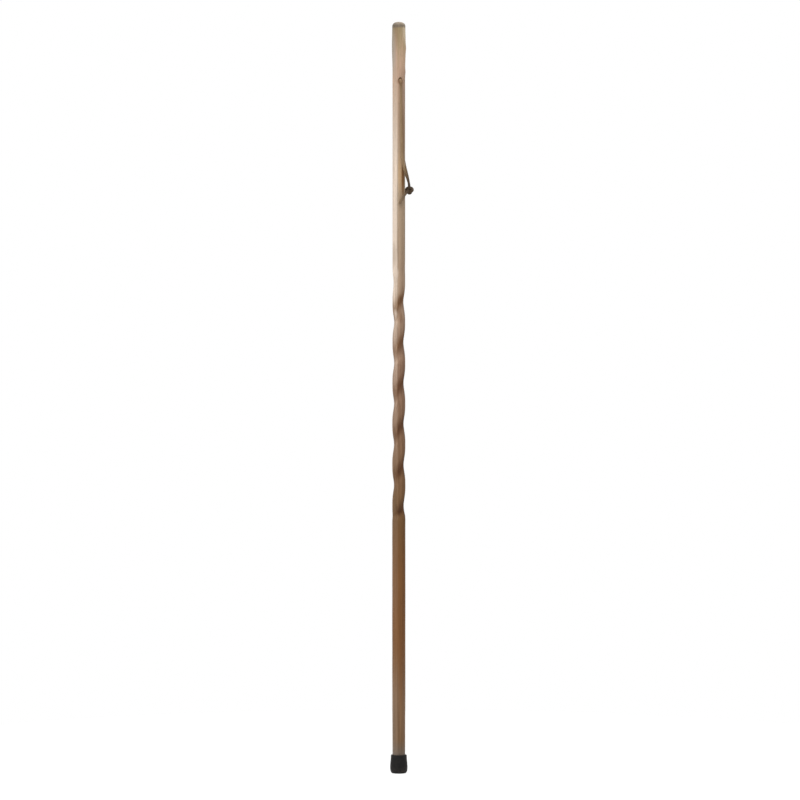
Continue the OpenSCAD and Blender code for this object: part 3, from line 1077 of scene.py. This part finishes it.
    def carving_tree(self) -> bpy.types.GeometryNodeTree:
        """Build the node tree that carves the twist into a turned blank, drills it and dresses it.

        Returns:
            The tree, with a named input for each size.
        """
        tree = bpy.data.node_groups.new("carved_twist", "GeometryNodeTree")
        sockets = [("Blank", "Geometry"), *((size, "Float") for size in self.carving_sizes())]
        sockets += [("Hole", "Object"), ("Finish", "Material")]
        for name, kind in sockets:
            tree.interface.new_socket(name, in_out="INPUT", socket_type=f"NodeSocket{kind}")
        tree.interface.new_socket("Shaft", in_out="OUTPUT", socket_type="NodeSocketGeometry")
        given = add_node(tree, "NodeGroupInput").node.outputs
        place = add_node(tree, "GeometryNodeInputPosition")
        raised, stain_and_shade = self.carving_rule(tree, place, given)
        flat = add_node(tree, "ShaderNodeVectorMath", (place, (1.0, 1.0, 0.0)), operation="MULTIPLY")
        outwards = add_node(tree, "ShaderNodeVectorMath", (flat,), operation="NORMALIZE")
        offset = add_node(tree, "ShaderNodeVectorMath", (outwards, raised), operation="SCALE")
        carved = add_node(tree, "GeometryNodeSetPosition", {"Geometry": given["Blank"], "Offset": offset})
        spool = add_node(tree, "GeometryNodeObjectInfo", {"Object": given["Hole"]}).node.outputs["Geometry"]
        meshes = {"Mesh 1": carved, "Mesh 2": spool}
        drilled = add_node(tree, "GeometryNodeMeshBoolean", meshes, operation="DIFFERENCE", solver="EXACT")
        # The groove's stain and painted shade go to the material
        stain = {"Geometry": drilled, "Name": "gathered_stain", "Value": stain_and_shade}
        stained = add_node(tree, "GeometryNodeStoreNamedAttribute", stain, data_type="FLOAT", domain="POINT")
        smoothed = add_node(tree, "GeometryNodeSetShadeSmooth", {"Geometry": stained})
        fold = add_node(tree, "GeometryNodeInputMeshEdgeAngle").node.outputs["Unsigned Angle"]
        limit = {"A": fold, "B": CREASE}
        sharp = add_node(tree, "FunctionNodeCompare", limit, operation="GREATER_THAN")
        edges = {"Geometry": smoothed, "Selection": sharp, "Shade Smooth": False}
        creased = add_node(tree, "GeometryNodeSetShadeSmooth", edges, domain="EDGE")
        whole = add_node(tree, "GeometryNodeRealizeInstances", (creased,))
        finish = {"Geometry": whole, "Material": given["Finish"]}
        dressed = add_node(tree, "GeometryNodeSetMaterial", finish)
        add_node(tree, "NodeGroupOutput", (dressed,))
        return tree

    def carving_rule(
        self, tree: Tree, place: Socket, given: bpy.types.bpy_prop_collection
    ) -> tuple[Socket, Socket]:
        """Work out how the carved wood differs from the turned blank at each point.

        Args:
            tree: Tree that gets the nodes.
            place: Position of each point.
            given: The tree's inputs.

        Returns:
            How far the wood stands outside the blank, and how much stain and painted shade lie there.
        """
        axes = add_node(tree, "ShaderNodeSeparateXYZ", (place,)).node.outputs
        terms = {socket.name: socket for socket in (*given, *axes)}
        # A gouge held by hand wanders, and the wood was never quite round or straight
        noise = {"W": axes["Z"], "Scale": self.sway_rate, "Detail": 1.0}
        terms["Wander"] = add_node(tree, "ShaderNodeTexNoise", noise, noise_dimensions="1D")
        cells = add_node(tree, "ShaderNodeVectorMath", (place, self.lump_rate), operation="MULTIPLY")
        noise = {"Vector": cells, "Scale": 1.0, "Detail": 2.0}
        terms["Lumps"] = add_node(tree, "ShaderNodeTexNoise", noise)
        # The groove fades at both ends, and the wood is true where the ferrule grips it
        fades = (
            ("Low Share", "Twist Foot", "Full Foot"),
            ("High Share", "Twist Top", "Full Top"),
            ("Free Share", "Wobble Foot", "Full Wobble"),
        )
        for name, start, full in fades:
            fade = (axes["Z"], given[start], given[full])
            terms[name] = add_node(tree, "ShaderNodeMapRange", fade, **EASED)
        # The groove's floor turns once round in each lead. The wash of stain and painted shade is thickest
        # on its upper wall, which looks down
        steps = (
            ("Rise", "SUBTRACT", "Z", "Twist Foot"),
            ("Turns", "DIVIDE", "Rise", "Lead"),
            ("Floor Bearing", "MULTIPLY_ADD", "Turns", FULL_TURN, "Groove Bearing"),
            ("Bearing", "ARCTAN2", "Y", "X"),
            ("Off True", "SUBTRACT", "Bearing", "Floor Bearing"),
            ("Stray", "SUBTRACT", "Wander", 0.5),
            ("Off Floor", "MULTIPLY_ADD", "Stray", "Sway", "Off True"),
            ("Stain And Shade Bearing", "MULTIPLY_ADD", "Turns", "Stain Climb", "Stain Rise"),
            ("Off Stain And Shade", "ADD", "Off Floor", "Stain And Shade Bearing"),
            ("Present", "MULTIPLY", "Low Share", "High Share"),
            ("Groove Wave", "COSINE", "Off Floor"),
            ("Groove Swing", "MULTIPLY_ADD", "Groove Wave", 0.5, 0.5),
            ("Groove Form", "POWER", "Groove Swing", "Groove Power"),
            ("Groove Share", "MULTIPLY", "Present", "Groove Form"),
            ("Carved", "MULTIPLY", "Groove Share", "Groove Depth"),
            ("Stain And Shade Wave", "COSINE", "Off Stain And Shade"),
            ("Stain And Shade Swing", "MULTIPLY_ADD", "Stain And Shade Wave", 0.5, 0.5),
            ("Stain And Shade Form", "POWER", "Stain And Shade Swing", "Groove Power"),
            ("Stain And Shade", "MULTIPLY", "Present", "Stain And Shade Form"),
            ("Lump", "SUBTRACT", "Lumps", 0.5),
            ("Uneven", "MULTIPLY", "Lump", "Wobble"),
            ("Wobbled", "MULTIPLY", "Uneven", "Free Share"),
            ("Raised", "SUBTRACT", "Wobbled", "Carved"),
        )
        for name, operation, *parts in steps:
            inputs = [terms.get(part, part) for part in parts]
            terms[name] = add_node(tree, "ShaderNodeMath", inputs, operation=operation)
        raised = terms["Raised"]
        for height, bearing, swelling, half_length in self.stubs:
            middle = spot_at(bearing, self.turned_radius(height), height)
            swell = soft_spot(tree, place, middle, ALL_AXES, 0.0, half_length, swelling)
            raised = add_node(tree, "ShaderNodeMath", (raised, swell), operation="ADD")
        return raised, terms["Stain And Shade"]

    def build(self) -> bpy.types.Object:
        """Turn, carve, drill and finish the shaft.

        Returns:
            The finished shaft.
        """
        finish = StainedHardwood(
            top_z=self.top_z,
            hole_z=self.hole_z,
            crown_z=self.crown_z,
            ferrule_z=self.ferrule_z,
            neck_r=self.neck_d / 2,
        )
        cutter = self.hole_cutter()
        shaft = new_object("shaft", turned_mesh("shaft", self.turned_profile(), self.sides))
        values = {**self.carving_sizes(), "Hole": cutter, "Finish": finish.material()}
        bake_nodes(shaft, self.carving_tree(), values)
        bpy.data.objects.remove(cutter)
        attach(shaft, Body.STAFF.value)
        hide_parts("staff_shaft")
        return shaft


@dataclass
class Ferrule:
    """Moulded rubber cup that grips the foot, and the steel washer on its socket floor."""

    base_r: float
    height: float
    floor_z: float
    socket_r: float = 12.6 * MM
    socket_ease: float = 0.6 * MM
    flare_step: float = 1.4 * MM
    flare_low: float = 12 * MM
    flare_high: float = 33 * MM
    tread_edge_h: float = 10 * MM
    tread_edge_in: float = 4.7 * MM
    lip_r: float = 1 * MM
    tread_rings: int = 3
    tread_groove_w: float = 1.4 * MM
    tread_groove_depth: float = 2 * MM
    tread_round: float = 0.3 * MM
    # Points round the rubber, and rings of points on a rounded edge and on the flare
    sides: int = 96
    edge_rings: int = 9
    flare_rings: int = 13

    def profile(self) -> Profile:
        """List the rings of the moulding, from the tread's middle round the outside to the socket floor.

        Returns:
            Radius and height of each ring.
        """
        sleeve_r = self.base_r - self.flare_step
        quarter = np.linspace(0, QUARTER_TURN, self.edge_rings)
        rings: Profile = [(0.0, 0.0)]
        pitch = (self.base_r - self.tread_edge_in) / (self.tread_rings + 1)
        ease = self.tread_round
        for k in range(1, self.tread_rings + 1):
            inner = pitch * k - self.tread_groove_w / 2
            outer = inner + self.tread_groove_w
            rings += [(inner - ease, 0.0), (inner, ease), (inner, self.tread_groove_depth)]
            rings += [(outer, self.tread_groove_depth), (outer, ease), (outer + ease, 0.0)]
        for angle in quarter:
            inset = self.tread_edge_in * (1 - math.sin(angle))
            rings.append((self.base_r - inset, self.tread_edge_h * (1 - math.cos(angle))))
        for share in np.linspace(0, 1, self.flare_rings):
            height = self.flare_low + (self.flare_high - self.flare_low) * share
            rings.append((mix(self.base_r, sleeve_r, share), height))
        for angle in quarter:
            inset = self.lip_r * (1 - math.cos(angle))
            rings.append((sleeve_r - inset, self.height - self.lip_r * (1 - math.sin(angle))))
        rings.append((self.socket_r + self.socket_ease, self.height))
        rings.append((self.socket_r, self.height - self.socket_ease))
        rings += [(self.socket_r, self.floor_z), (0.0, self.floor_z)]
        return rings

    def build(self) -> bpy.types.Object:
        """Mould the ferrule, and finish the washer that lies in it.

        Returns:
            The ferrule.
        """
        mesh = turned_mesh("ferrule", self.profile(), self.sides)
        mesh.set_sharp_from_angle(angle=CREASE)
        mesh.materials.append(MouldedRubber().material())
        ferrule = new_object("ferrule", mesh)
        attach(ferrule, Body.FERRULE.value)
        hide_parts("rubber_ferrule")
        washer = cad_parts["ferrule_washer"]
        washer.data.materials.clear()
        washer.data.materials.append(ZincPlatedSteel().material())
        return ferrule


@dataclass
class Lanyard:
    """Flat leather lace through the cross hole, tied in a doubled overhand knot with two short tails.

    The routes are in metres from the hole's middle and drawn on the front side; the back strand and the back
    tail are mirrored to the back.
    """

    hole_z: float
    neck_d: float
    lace_w: float = 4.5 * MM
    lace_t: float = 2.4 * MM
    strand_len: float = 0.23
    tail_len: float = 0.041
    # The knot squeezes each lace to this width and thickness
    pressed_w: float = 4.4 * MM
    pressed_t: float = 1.85 * MM
    squeeze_len: float = 12 * MM
    # The hole crumples the lace into a round of this width, which bulges outwards past the hole's mouth
    crumpled_w: float = 5.8 * MM
    crumple_len: float = 34 * MM
    # The strands' faces turn to the front and to the back below this height
    face_turn_z: float = -138 * MM
    face_turn_len: float = 30 * MM
    # Share by which a hand-cut lace varies, in long and in short waves, and the length of a radian of each
    long_waver: float = 0.03
    long_wave: float = 9 * MM
    short_waver: float = 0.02
    short_wave: float = 3.7 * MM
    ring_step: float = 1.1 * MM
    section_sides: int = 16
    section_power: float = 4.5
    # The cut edge's colour begins at this share of the half width
    edge_share: float = 0.8
    knot_place: Point = (0.0214, 0.0, -0.2158)
    knot_r: float = 4.45 * MM
    knot_wander: float = 1.95 * MM
    knot_lift: float = 2.5 * MM
    knot_turn: float = math.radians(30)
    knot_rings: int = 168
    lace_start: Route = (
        (0, 0, 0), (0, -0.0035, 0), (0, -0.007, 0), (0, -0.0104, -0.0007), (0, -0.0134, -0.0026),
        (0, -0.0153, -0.0056), (0.0001, -0.016, -0.009), (0.0002, -0.016, -0.015),
        (0.0004, -0.0158, -0.025), (0.0006, -0.0156, -0.038),
    )
    front_route: Route = lace_start + (
        (0.0008, -0.0154, -0.054), (0.001, -0.0153, -0.072), (0.0013, -0.0153, -0.09),
        (0.0015, -0.0153, -0.108), (0.0019, -0.0153, -0.125), (0.0025, -0.0153, -0.14),
        (0.0035, -0.0153, -0.153), (0.0049, -0.0152, -0.164), (0.0068, -0.015, -0.173),
        (0.009, -0.0145, -0.181), (0.0116, -0.0135, -0.188), (0.0144, -0.0118, -0.194),
        (0.0169, -0.0094, -0.1994), (0.0188, -0.007, -0.2038), (0.0201, -0.0047, -0.2076),
        (0.021, -0.0026, -0.2112),
    )
    back_route: Route = lace_start + (
        (0.001, -0.0154, -0.054), (0.0016, -0.0153, -0.072), (0.0028, -0.0153, -0.09),
        (0.0048, -0.0153, -0.108), (0.0076, -0.0153, -0.125), (0.0109, -0.0153, -0.14),
        (0.0136, -0.0151, -0.153), (0.0156, -0.0147, -0.164), (0.0174, -0.0139, -0.173),
        (0.0192, -0.0127, -0.181), (0.0206, -0.0112, -0.188), (0.0214, -0.0096, -0.194),
        (0.0218, -0.0078, -0.1994), (0.0219, -0.006, -0.2038), (0.0217, -0.0042, -0.2076),
        (0.0212, -0.0026, -0.2112),
    )
    # The tail starts inside the knot, one point before its solid does
    tail_route: Route = (
        (0.0193, -0.0009, -0.2158), (0.0174, -0.0026, -0.2168), (0.0156, -0.006, -0.2192),
        (0.0128, -0.0098, -0.2218), (0.0096, -0.0132, -0.225), (0.006, -0.0153, -0.2288),
        (0.0026, -0.016, -0.2334), (-0.0004, -0.016, -0.2384), (-0.0026, -0.0157, -0.2436),
    )
    finish: bpy.types.Material = field(init=False)

    def section(self) -> np.ndarray:
        """Draw the lace's cut section with soft corners, 1 wide and 1 thick either way from its middle.

        Returns:
            Points round the section, across the lace and then through it.
        """
        angles = np.linspace(0, FULL_TURN, self.section_sides, endpoint=False) + math.pi / self.section_sides
        corner = np.stack([np.cos(angles), np.sin(angles)], axis=1)
        return np.sign(corner) * np.abs(corner) ** (2 / self.section_power)

    def lace(
        self,
        name: str,
        line: np.ndarray,
        hints: np.ndarray,
        widths: np.ndarray,
        thicknesses: np.ndarray,
        roundness: np.ndarray | float = 0.0,
        endless: bool = False,
    ) -> bpy.types.Mesh:
        """Sweep the lace's section along a line.

        Args:
            name: Name of the mesh.
            line: Points down the middle of the lace.
            hints: Direction that the lace's outer face looks in at each point, roughly.
            widths: Width of the lace at each point.
            thicknesses: Thickness of the lace at each point.
            roundness: Share from 0, flat, to 1, round, at each point.
            endless: Whether the line's last point joins its first.

        Returns:
            The lace's mesh, with an attribute that marks its cut edges.
        """
        along = unit_rows(line_steps(line, endless))
        outs = unit_rows(hints - (hints * along).sum(axis=1, keepdims=True) * along)
        sides = np.cross(outs, along)
        shape = self.section()
        shapes = shape + (unit_rows(shape) - shape) * np.broadcast_to(roundness, len(line))[:, None, None]
        rings = (
            line[:, None, :]
            + sides[:, None, :] * (shapes[:, :, :1] * widths[:, None, None] / 2)
            + outs[:, None, :] * (shapes[:, :, 1:] * thicknesses[:, None, None] / 2)
        )
        mesh = swept_mesh(name, rings, endless)
        cut_edge = np.clip((np.abs(shape[:, 0]) - self.edge_share) / (1 - self.edge_share), 0, 1)
        layer = mesh.attributes.new("cut_edge", "FLOAT", "POINT")
        layer.data.foreach_set("value", np.tile(cut_edge, len(line)).astype(np.float32))
        mesh.materials.append(self.finish)
        return mesh

    def worn(self, line: np.ndarray, size: float, phase: float) -> np.ndarray:
        """Vary a size a little along a line, as a hand-cut lace does.

        Args:
            line: Points down the middle of the lace.
            size: The size where it is true.
            phase: Where in its long waves the lace starts.

        Returns:
            The size at each point.
        """
        reach = np.linspace(0, 1, len(line)) * len(line) * self.ring_step
        long_waves = self.long_waver * np.sin(reach / self.long_wave + phase)
        return size * (1 + long_waves + self.short_waver * np.sin(reach / self.short_wave))

    def pressed(self, line: np.ndarray, squeeze: np.ndarray, side: Side) -> tuple[np.ndarray, np.ndarray]:
        """Size the lace along a line, as it was cut and as the knot presses it.

        Args:
            line: Points down the middle of the lace.
            squeeze: Share of the knot's pressing at each point.
            side: Side of the shaft that the lace lies on.

        Returns:
            Width and thickness at each point.
        """
        widths = self.worn(line, self.lace_w, side.value) * (1 - squeeze) + self.pressed_w * squeeze
        thicknesses = self.worn(line, self.lace_t, 1.0) * (1 - squeeze) + self.pressed_t * squeeze
        return widths, thicknesses

    def facing(self, line: np.ndarray, turn: np.ndarray) -> np.ndarray:
        """Find which way the lace's outer face looks along a line.

        Args:
            line: Points down the middle of the lace.
            turn: Share by which the face has turned to the front at each point.

        Returns:
            Direction at each point: away from the staff, up inside the hole, or to the front.
        """
        hints = line.copy()
        hints[:, 2] = self.neck_d / 2
        return unit_rows(hints) * (1 - turn)[:, None] + np.array([0.0, -1.0, 0.0]) * turn[:, None]

    def placed(self, mesh: bpy.types.Mesh, side: Side) -> bpy.types.Mesh:
        """Lift a mesh to the hole's height, and mirror it for the back side.

        Args:
            mesh: Mesh drawn on the front side, round the hole's middle.
            side: Side of the shaft that it belongs on.

        Returns:
            The same mesh, in its place.
        """
        if side is Side.BACK:
            mesh.transform(Matrix.Scale(-1, 4, (0, 1, 0)))
            mesh.flip_normals()
        mesh.transform(Matrix.Translation((0, 0, self.hole_z)))
        return mesh

    def path(self, line: np.ndarray, side: Side) -> list[list[float]]:
        """Give the points of a line where the placed piece has them."""
        way = 1 if side is Side.FRONT else -1
        return [[x, way * y, z + self.hole_z] for x, y, z in line]

    def strand(self, side: Side) -> tuple[bpy.types.Object, list[list[float]]]:
        """Hang one strand from the hole's middle to the knot.

        Args:
            side: Side of the shaft that it hangs on.

        Returns:
            The strand and the points that it follows.
        """
        line = even_route(self.front_route if side is Side.FRONT else self.back_route, self.ring_step)
        hints = self.facing(line, smooth((self.face_turn_z - line[:, 2]) / self.face_turn_len))
        past = np.arange(len(line)) * self.ring_step
        widths, thicknesses = self.pressed(line, smooth(1 - past[::-1] / self.squeeze_len), side)
        crumple = smooth(1 - past / self.crumple_len)
        thicker = (self.crumpled_w - self.lace_t) * crumple
        thicknesses += thicker
        widths += (self.crumpled_w - self.lace_w) * crumple
        clear = smooth((past - self.neck_d / 2 + self.lace_w) / (2 * self.lace_w))
        line += hints * (thicker / 2 * clear)[:, None]
        name = f"lace_{side.name.lower()}_strand"
        mesh = self.placed(self.lace(name, line, hints, widths, thicknesses, crumple), side)
        return new_object(name, mesh), self.path(line, side)

    def tail(self, side: Side) -> tuple[bpy.types.Object, list[list[float]]]:
        """Lay one tail from the knot to its cut end.

        Args:
            side: Side of the shaft that it crosses.

        Returns:
            The tail and the points that it follows.
        """
        line = even_route(self.tail_route, self.ring_step)
        squeeze = smooth(1 - np.arange(len(line)) * self.ring_step / self.squeeze_len)
        name = f"lace_{side.name.lower()}_tail"
        lace = self.lace(name, line, self.facing(line, squeeze), *self.pressed(line, squeeze, side))
        return new_object(name, self.placed(lace, side)), self.path(line, side)

    def knot(self) -> bpy.types.Object:
        """Tie both laces together in an overhand knot.

        Returns:
            The knot.
        """
        # The knot goes round twice, and in and out and up and down three times
        angles = np.linspace(FULL_TURN, 0, self.knot_rings, endpoint=False)
        radii = self.knot_r + self.knot_wander * np.cos(3 * angles)
        turns = 2 * angles + self.knot_turn
        lift = self.knot_lift * np.sin(3 * angles)
        middle = np.stack([radii * np.cos(turns), lift, radii * np.sin(turns)], axis=1)
        middle += np.array(self.knot_place)
        along = unit_rows(line_steps(middle, endless=True))
        front = np.tile([0.0, -1.0, 0.0], (len(middle), 1))
        stack = unit_rows(front - (front * along).sum(axis=1, keepdims=True) * along)
        widths = np.full(len(middle), self.pressed_w)
        thicknesses = np.full(len(middle), self.pressed_t)
        laces = []
        for way in (1, -1):
            line = middle + stack * (way * self.pressed_t / 2)
            mesh = self.lace("lace_knot", line, front, widths, thicknesses, endless=True)
            laces.append(new_object("lace_knot", mesh))
        knot = laces[0]
        with bpy.context.temp_override(active_object=knot, selected_editable_objects=laces):
            bpy.ops.object.join()
        self.placed(knot.data, Side.FRONT)
        return knot

    def build(self) -> list[bpy.types.Object]:
        """Make the lace's pieces.

        Returns:
            The knot, then the strand and the tail of each side.
        """
        knot_at = (self.knot_place[0], self.knot_place[1], self.knot_place[2] + self.hole_z)
        self.finish = OiledLeather(knot_at, self.hole_z).material()
        knot = self.knot()
        self.fasten(knot, "lanyard_knot")
        pieces = [knot]
        for side in Side:
            strand, strand_path = self.strand(side)
            self.fasten(strand, f"lanyard_{side.name.lower()}_strand")
            tail, tail_path = self.tail(side)
            self.fasten(tail, f"lanyard_{side.name.lower()}_tail")
            pieces += [strand, tail]
        return pieces

    def fasten(self, piece: bpy.types.Object, node: str) -> None:
        """Let a piece swing with the lanyard in the place of its solid.

        Args:
            piece: Piece of the lace.
            node: Name of the solid.
        """
        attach(piece, Body.LANYARD.value)
        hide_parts(node)


def main() -> None:
    """Set the studio, build each sub-assembly and note the sizes."""
    logging.basicConfig(level=logging.INFO, format="%(message)s")
    studio = Studio()
    studio.camera()
    shaft_low, shaft_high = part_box("staff_shaft")
    _, ferrule_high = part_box("rubber_ferrule")
    washer_low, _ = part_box("ferrule_washer")
    shaft = Shaft(foot_z=shaft_low.z, top_z=shaft_high.z, ferrule_z=ferrule_high.z)
    lanyard = Lanyard(hole_z=shaft.hole_z, neck_d=shaft.neck_d)
    ferrule = Ferrule(base_r=ferrule_high.x, height=ferrule_high.z, floor_z=washer_low.z)
    for piece in (*lanyard.build(), shaft.build(), ferrule.build()):
        log.info("%s: %d faces", piece.name, len(piece.data.polygons))
    studio.floor()
    studio.light()


if __name__ == "__main__":
    main()
